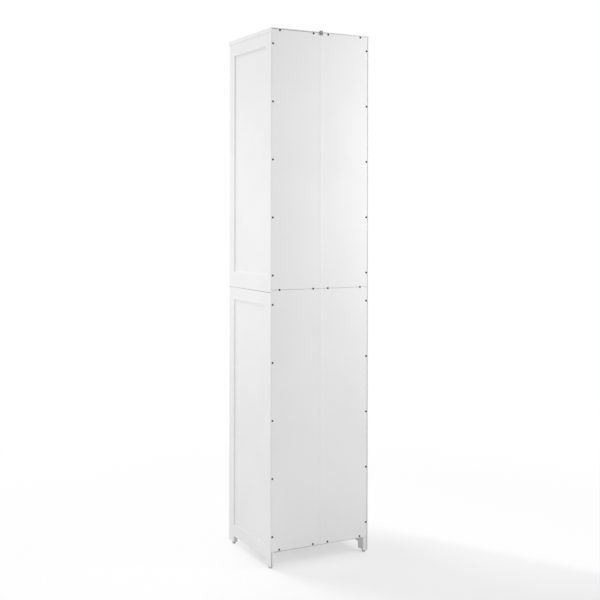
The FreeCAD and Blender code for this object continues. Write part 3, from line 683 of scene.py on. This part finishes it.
def back_screw_spots():
    """Where each screw's head seats on the sheets, from the boxes of the sheets and the boards."""
    low = {tier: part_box(tier + "_back")[0] for tier in TIERS}
    high = {tier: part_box(tier + "_back")[1] for tier in TIERS}
    face = high["upper"].y
    stile_low, stile_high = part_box("upper_right_rear_stile")
    column = (stile_low.x + stile_high.x) / 2
    spots = []
    ends = {"upper": (low["upper"].z + SCREW_SEAM_DISTANCE, high["upper"].z - SCREW_OUTER_DISTANCE),
            "lower": (low["lower"].z + SCREW_OUTER_DISTANCE, high["lower"].z - SCREW_SEAM_DISTANCE)}
    for first, last in ends.values():
        for step in range(SCREW_COLUMN_GAPS + 1):
            z = first + (last - first) * step / SCREW_COLUMN_GAPS
            spots += [Vector((x, face, z)) for x in (-column, column)]
    outer = stile_high.x - SCREW_ROW_EDGE
    for board in ("top_panel", "divider_panel", "bottom_panel"):
        board_low, board_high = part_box(board)
        middle = (board_low.z + board_high.z) / 2
        for x in (-outer, -SCREW_ROW_INNER, SCREW_ROW_INNER, outer):
            spots.append(Vector((x, face, middle)))
    return spots


def model_back_screws():
    """Black screws through the sheets, and one grey screw through the bracket."""
    shape = bmesh.new()
    for spot in back_screw_spots():
        moved(shape, pan_screw(shape, **BACK_SCREW), spot, TO_REAR)
    top_low, top_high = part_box("top_panel")
    bracket_spot = Vector((0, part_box("tip_bracket")[1].y, (top_low.z + top_high.z) / 2))
    bracket_screw = pan_screw(shape, **BACK_SCREW)
    for face in {face for vert in bracket_screw for face in vert.link_faces}:
        face.material_index = 1
    moved(shape, bracket_screw, bracket_spot, TO_REAR)
    finished("back_screw_set", shape, [FINISHES["dark_steel"], BRACKET_STEEL], "carcass",
             ("back_screws",))


def model_knob_screw(tier):
    """Screw through the door into the knob, its head on the door's inner face."""
    node = tier + "_door_knob_screw"
    low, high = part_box(node)
    shape = bmesh.new()
    seat = Vector(((low.x + high.x) / 2, high.y - KNOB_SCREW["height"], (low.z + high.z) / 2))
    moved(shape, pan_screw(shape, **KNOB_SCREW), seat, TO_REAR)
    finished(tier + "_knob_screw_turned", shape, [FINISHES["zinc"]], tier + "_door", (node,))


# Hinges and catches

def leaf_screw_spots(tier):
    """Depth and height of the screws in the two hinges of a door, staggered up each leaf."""
    low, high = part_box(tier + "_door_hinge_leaves")
    middle = high.y - LEAF_WIDTH / 2
    spots = []
    for base in (low.z, high.z - HINGE_HEIGHT):
        for number, rise in enumerate(LEAF_SCREW_RISES):
            aside = LEAF_SCREW_STAGGER if number % 2 else -LEAF_SCREW_STAGGER
            spots.append((middle + aside, base + rise))
    return spots


def model_leaf_screws():
    """Screws of the hinge leaves, one set on the carcass and one on each door."""
    finishes = [FINISHES["hinge_steel"], FINISHES["dark_steel"]]
    frame_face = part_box("upper_left_front_stile")[1].x + LEAF_THICKNESS
    door_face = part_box("upper_door_hinge_stile")[0].x - LEAF_THICKNESS
    on_frame = bmesh.new()
    for tier in TIERS:
        on_door = bmesh.new()
        for y, z in leaf_screw_spots(tier):
            moved(on_frame, flush_screw(on_frame, **LEAF_SCREW), Vector((frame_face, y, z)), TO_RIGHT)
            moved(on_door, flush_screw(on_door, **LEAF_SCREW), Vector((door_face, y, z)), TO_LEFT)
        finished(tier + "_door_leaf_screws", on_door, finishes, tier + "_door")
    finished("frame_leaf_screws", on_frame, finishes, "carcass")


def model_catch_screws():
    """Two screws in each strike plate, and two up through the ends of each catch housing."""
    finishes = [FINISHES["zinc"], FINISHES["dark_steel"]]
    low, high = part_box("catch_housings")
    on_frame = bmesh.new()
    for under in (low.z, high.z - CATCH_HEIGHT):
        for x in (low.x + CATCH_SCREW_INSET, high.x - CATCH_SCREW_INSET):
            spot = Vector((x, (low.y + high.y) / 2, under))
            moved(on_frame, flush_screw(on_frame, **CATCH_SCREW), spot, TO_FLOOR)
    finished("catch_screws", on_frame, finishes, "carcass")
    for tier in TIERS:
        plate_low, plate_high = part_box(tier + "_door_strike_plate")
        middle = (plate_low + plate_high) / 2
        on_door = bmesh.new()
        for reach in (-STRIKE_SCREW_REACH, STRIKE_SCREW_REACH):
            spot = Vector((middle.x + reach, plate_high.y, middle.z))
            moved(on_door, flush_screw(on_door, **STRIKE_SCREW), spot, TO_REAR)
        finished(tier + "_door_strike_screws", on_door, finishes, tier + "_door")


# Cam locks

def cam_lock(shape):
    """Round die-cast cam with an eased rim and a cross recess for the driver."""
    outline = [(share * CAM_RADIUS, 0) for share in (0, CAM_FLAT, CAM_CROSS, 1 - CAM_EASE)]
    outline += [(CAM_RADIUS, -CAM_EASE * CAM_RADIUS), (CAM_RADIUS, -CAM_DEPTH), (0, -CAM_DEPTH)]
    verts = turned(shape, outline, CAM_STEPS)
    return sunk_cross(shape, verts, CAM_STEPS, CAM_CROSS * CAM_RADIUS, CAM_CROSS_LOW * CAM_RADIUS,
                      CAM_RECESS)


def cam_lock_spots():
    """Four cams inside the tops of the upper side stiles, and four under each lower panel."""
    front_low, front_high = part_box("upper_right_front_stile")
    rear_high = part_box("upper_right_rear_stile")[1]
    spots = []
    for sign, turn in ((1, TO_LEFT), (-1, TO_RIGHT)):
        for y in (front_low.y + BOLT_EDGE_DISTANCE, rear_high.y - BOLT_EDGE_DISTANCE):
            spots.append((Vector((sign * front_low.x, y, front_high.z - BOLT_REACH)), turn))
    for panel in ("divider_panel", "bottom_panel"):
        low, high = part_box(panel)
        for x in (low.x + BOLT_REACH, high.x - BOLT_REACH):
            for y in (low.y + BOLT_PANEL_INSET, high.y - BOLT_PANEL_INSET):
                spots.append((Vector((x, y, low.z)), TO_FLOOR))
    return spots


def model_cam_locks():
    """All the cams of the carcass, as one set."""
    shape = bmesh.new()
    for spot, turn in cam_lock_spots():
        moved(shape, cam_lock(shape), spot, turn)
    finished("cam_lock_set", shape, [FINISHES["zinc"]], "carcass", ("cam_locks",))


# Glides and knobs

def model_glides():
    """Round moulded glides with an eased foot, each on its nail."""
    low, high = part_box("foot_glides")
    leg_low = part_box("lower_right_front_stile")[0]
    height = leg_low.z
    outline = [(0, 0)]
    outline += arc((GLIDE_RADIUS - GLIDE_EASE, GLIDE_EASE), (GLIDE_EASE, GLIDE_EASE), -90, 0, steps=3)
    outline += [(GLIDE_RADIUS, height - GLIDE_EASE / 2), (GLIDE_RADIUS - GLIDE_EASE / 2, height)]
    outline += [(GLIDE_NAIL, height), (GLIDE_NAIL, high.z - 2 * GLIDE_NAIL), (0, high.z)]
    shape = bmesh.new()
    for x in (low.x + GLIDE_RADIUS, high.x - GLIDE_RADIUS):
        for y in (low.y + GLIDE_RADIUS, high.y - GLIDE_RADIUS):
            moved(shape, turned(shape, outline, TURNING_STEPS), Vector((x, y, 0)))
    finished("foot_glide_set", shape, [FINISHES["glide_plastic"]], "carcass",
             ("foot_glides",))


def model_knob(tier):
    """Turned mushroom knob: flared base, slim neck and an eased rim with a shallow crown."""
    node = tier + "_door_knob"
    low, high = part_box(node)
    radius = (high.z - low.z) / 2
    reach = high.y - low.y
    neck_low, neck_high = KNOB_NECK_SPAN
    foot = KNOB_FOOT - KNOB_FOOT_EASE
    rim = radius - KNOB_RIM_EASE
    crown = radius - KNOB_CROWN_EASE
    outline = [(0, 0), (KNOB_FOOT - KNOB_FOOT_EASE / 2, 0), (KNOB_FOOT, KNOB_FOOT_EASE / 2)]
    outline += arc((foot, KNOB_FOOT_HEIGHT - KNOB_FOOT_EASE), (KNOB_FOOT_EASE, KNOB_FOOT_EASE),
                   0, 90, steps=2)
    outline += arc((foot, neck_low), (foot - KNOB_NECK, neck_low - KNOB_FOOT_HEIGHT),
                   -90, -180, steps=4)[1:]
    outline += arc((KNOB_FLARE, neck_high), (KNOB_FLARE - KNOB_NECK, KNOB_UNDER - neck_high),
                   180, 90, steps=4)
    outline += arc((rim, KNOB_RIM), (KNOB_RIM_EASE, KNOB_RIM - KNOB_UNDER), -90, 0, steps=4)
    outline += arc((crown, KNOB_RIM), (KNOB_CROWN_EASE, KNOB_CROWN - KNOB_RIM), 0, 90, steps=6)[1:]
    # The crown is a shallow parabola: at half its radius it has three quarters of its rise
    outline += [(crown / 2, (KNOB_CROWN + 3 * reach) / 4), (0, reach)]
    shape = bmesh.new()
    spot = Vector(((low.x + high.x) / 2, high.y, (low.z + high.z) / 2))
    moved(shape, turned(shape, outline, TURNING_STEPS), spot, TO_FRONT)
    finished(tier + "_knob_turned", shape, [FINISHES["knob_metal"]], tier + "_door",
             (node,))


# Stage, light and camera

WHITE = grey(1)
FLOOR_HALF = 8.0
FLOOR_COLOUR = grey(0.9)
FLOOR_ROUGHNESS = 0.9

# Share of its own white that the floor shows the camera, by place round the cabinet
FLOOR_FADE = (1.1, 2.1)
GLOW_IN_SHADOW = 0.39
GLOW_UNDER = 0.55
GLOW_UNDER_SPAN = (0.2, 0.4)
GLOW_IN_LIGHT = 0.9
GLOW_DIRECTION = (1, -0.7, 0)
GLOW_SPAN = (-0.08, 0.42)
ACROSS_SHADOW = (0.9, 0.43, 0)
SHADOW_FAR_EDGE = (-0.45, -0.27)

# Light from all round, and softboxes
AMBIENT = 0.627
LAMPS = {
    "front_key": {"spot": (1.07, -2.25, 4.39), "aim": (0, 0, 0.4), "size": (1.8, 1.8), "watts": 75},
    "side_fill": {"spot": (1.25, 0, 1.2), "aim": (0.2, 0, 1.2), "size": (0.6, 0.6), "watts": 2.95},
    "rear_fill": {"spot": (-1.0, 0.95, 1.42), "aim": (-0.2, 0.19, 1.3), "size": (0.3, 1.5),
                  "watts": 8.4},
}


def camera_ray_share(tree, share=1.0):
    """Share of a shader that only camera, glossy and transmission rays see."""
    path = added(tree, "ShaderNodeLightPath")
    seen = sum_of(tree, "MAXIMUM", path.outputs["Is Camera Ray"], path.outputs["Is Glossy Ray"])
    seen = sum_of(tree, "MAXIMUM", seen, path.outputs["Is Transmission Ray"])
    return sum_of(tree, "MULTIPLY", seen, share)


def blended(tree, share, first, second, target):
    """Give an output two shaders, mixed by a share of the second."""
    blend = added(tree, "ShaderNodeMixShader")
    tree.links.new(share, blend.inputs["Fac"])
    tree.links.new(first.outputs[0], blend.inputs[1])
    tree.links.new(second.outputs[0], blend.inputs[2])
    tree.links.new(blend.outputs[0], target.inputs["Surface"])


def set_world():
    """Even light from all round, which the camera sees as a white backdrop."""
    world = bpy.data.worlds.new("white_studio")
    bpy.context.scene.world = world
    world.use_nodes = True
    tree = world.node_tree
    tree.nodes.clear()
    ambient = added(tree, "ShaderNodeBackground")
    ambient.inputs["Strength"].default_value = AMBIENT
    backdrop = added(tree, "ShaderNodeBackground")
    for light in (ambient, backdrop):
        light.inputs["Color"].default_value = WHITE
    blended(tree, camera_ray_share(tree), ambient, backdrop, added(tree, "ShaderNodeOutputWorld"))


def measured(tree, operation, place, direction=(0, 0, 0)):
    """Length of a place's vector, or its dot product with a direction."""
    node = added(tree, "ShaderNodeVectorMath", operation=operation)
    tree.links.new(place, node.inputs[0])
    node.inputs[1].default_value = direction
    return node.outputs["Value"]


def floor_glow(tree):
    """Share of white on the floor: least in the shadow, more under the cabinet, most in the light."""
    place = added(tree, "ShaderNodeTexCoord").outputs["Object"]
    reach = measured(tree, "LENGTH", place)
    towards_key = measured(tree, "DOT_PRODUCT", place, GLOW_DIRECTION)
    across = measured(tree, "DOT_PRODUCT", place, ACROSS_SHADOW)
    lit = stretched(tree, towards_key, *GLOW_SPAN, GLOW_IN_SHADOW, GLOW_IN_LIGHT)
    under = sum_of(tree, "MAXIMUM", lit, GLOW_UNDER)
    close = stretched(tree, reach, *GLOW_UNDER_SPAN, under, lit)
    beyond = stretched(tree, across, *SHADOW_FAR_EDGE, GLOW_IN_LIGHT, 0)
    share = sum_of(tree, "MAXIMUM", close, beyond)
    return stretched(tree, reach, *FLOOR_FADE, share, 1)


def set_floor():
    """White floor that takes the shadow near the cabinet and fades into the backdrop far from it."""
    shape = bmesh.new()
    bmesh.ops.create_grid(shape, x_segments=1, y_segments=1, size=FLOOR_HALF)
    mesh = bpy.data.meshes.new("studio_floor")
    shape.to_mesh(mesh)
    shape.free()
    floor = bpy.data.objects.new("studio_floor", mesh)
    bpy.context.scene.collection.objects.link(floor)
    material = bpy.data.materials.new("white_floor")
    material.use_nodes = True
    tree = material.node_tree
    shader = tree.nodes["Principled BSDF"]
    shader.inputs["Base Color"].default_value = FLOOR_COLOUR
    shader.inputs["Roughness"].default_value = FLOOR_ROUGHNESS
    shader.inputs["Specular IOR Level"].default_value = 0
    glow = added(tree, "ShaderNodeEmission")
    seen = camera_ray_share(tree, floor_glow(tree))
    blended(tree, seen, shader, glow, tree.nodes["Material Output"])
    mesh.materials.append(material)


def set_lamp(name, spot, aim, size, watts):
    """Softbox of a width and a height, which no camera ray sees."""
    lamp = bpy.data.lights.new(name, "AREA")
    lamp.shape = "ELLIPSE"
    lamp.size, lamp.size_y = size
    lamp.energy = watts
    item = bpy.data.objects.new(name, lamp)
    item.visible_camera = False
    item.location = spot
    item.rotation_euler = (Vector(aim) - Vector(spot)).to_track_quat("-Z", "Y").to_euler()
    bpy.context.scene.collection.objects.link(item)


def set_lights():
    """The light from all round and every softbox."""
    set_world()
    for name, lamp in LAMPS.items():
        set_lamp(name, **lamp)


def set_camera():
    """Camera that looks level, a little rolled, its lens shifted so that uprights stay upright."""
    scene = bpy.context.scene
    lens = bpy.data.cameras.new("photo_camera")
    lens.sensor_fit = "HORIZONTAL"
    lens.sensor_width = SENSOR_WIDTH
    lens.lens = FOCAL_PIXELS / PHOTO_SIDE * SENSOR_WIDTH
    lens.shift_y = (HORIZON_PIXEL - PHOTO_SIDE / 2) / PHOTO_SIDE
    item = bpy.data.objects.new("photo_camera", lens)
    forward = Vector((-math.sin(CAMERA_YAW), -math.cos(CAMERA_YAW), 0))
    level = forward.to_track_quat("-Z", "Y").to_matrix().to_4x4()
    item.matrix_world = Matrix.Translation(CAMERA_SPOT) @ level @ Matrix.Rotation(CAMERA_ROLL, 4, "Z")
    scene.collection.objects.link(item)
    scene.camera = item
    scene.view_settings.view_transform = "Standard"


dress_frame()
model_back_screws()
model_leaf_screws()
model_catch_screws()
model_cam_locks()
model_glides()
for tier_name in TIERS:
    model_knob(tier_name)
    model_knob_screw(tier_name)
set_floor()
set_lights()
set_camera()
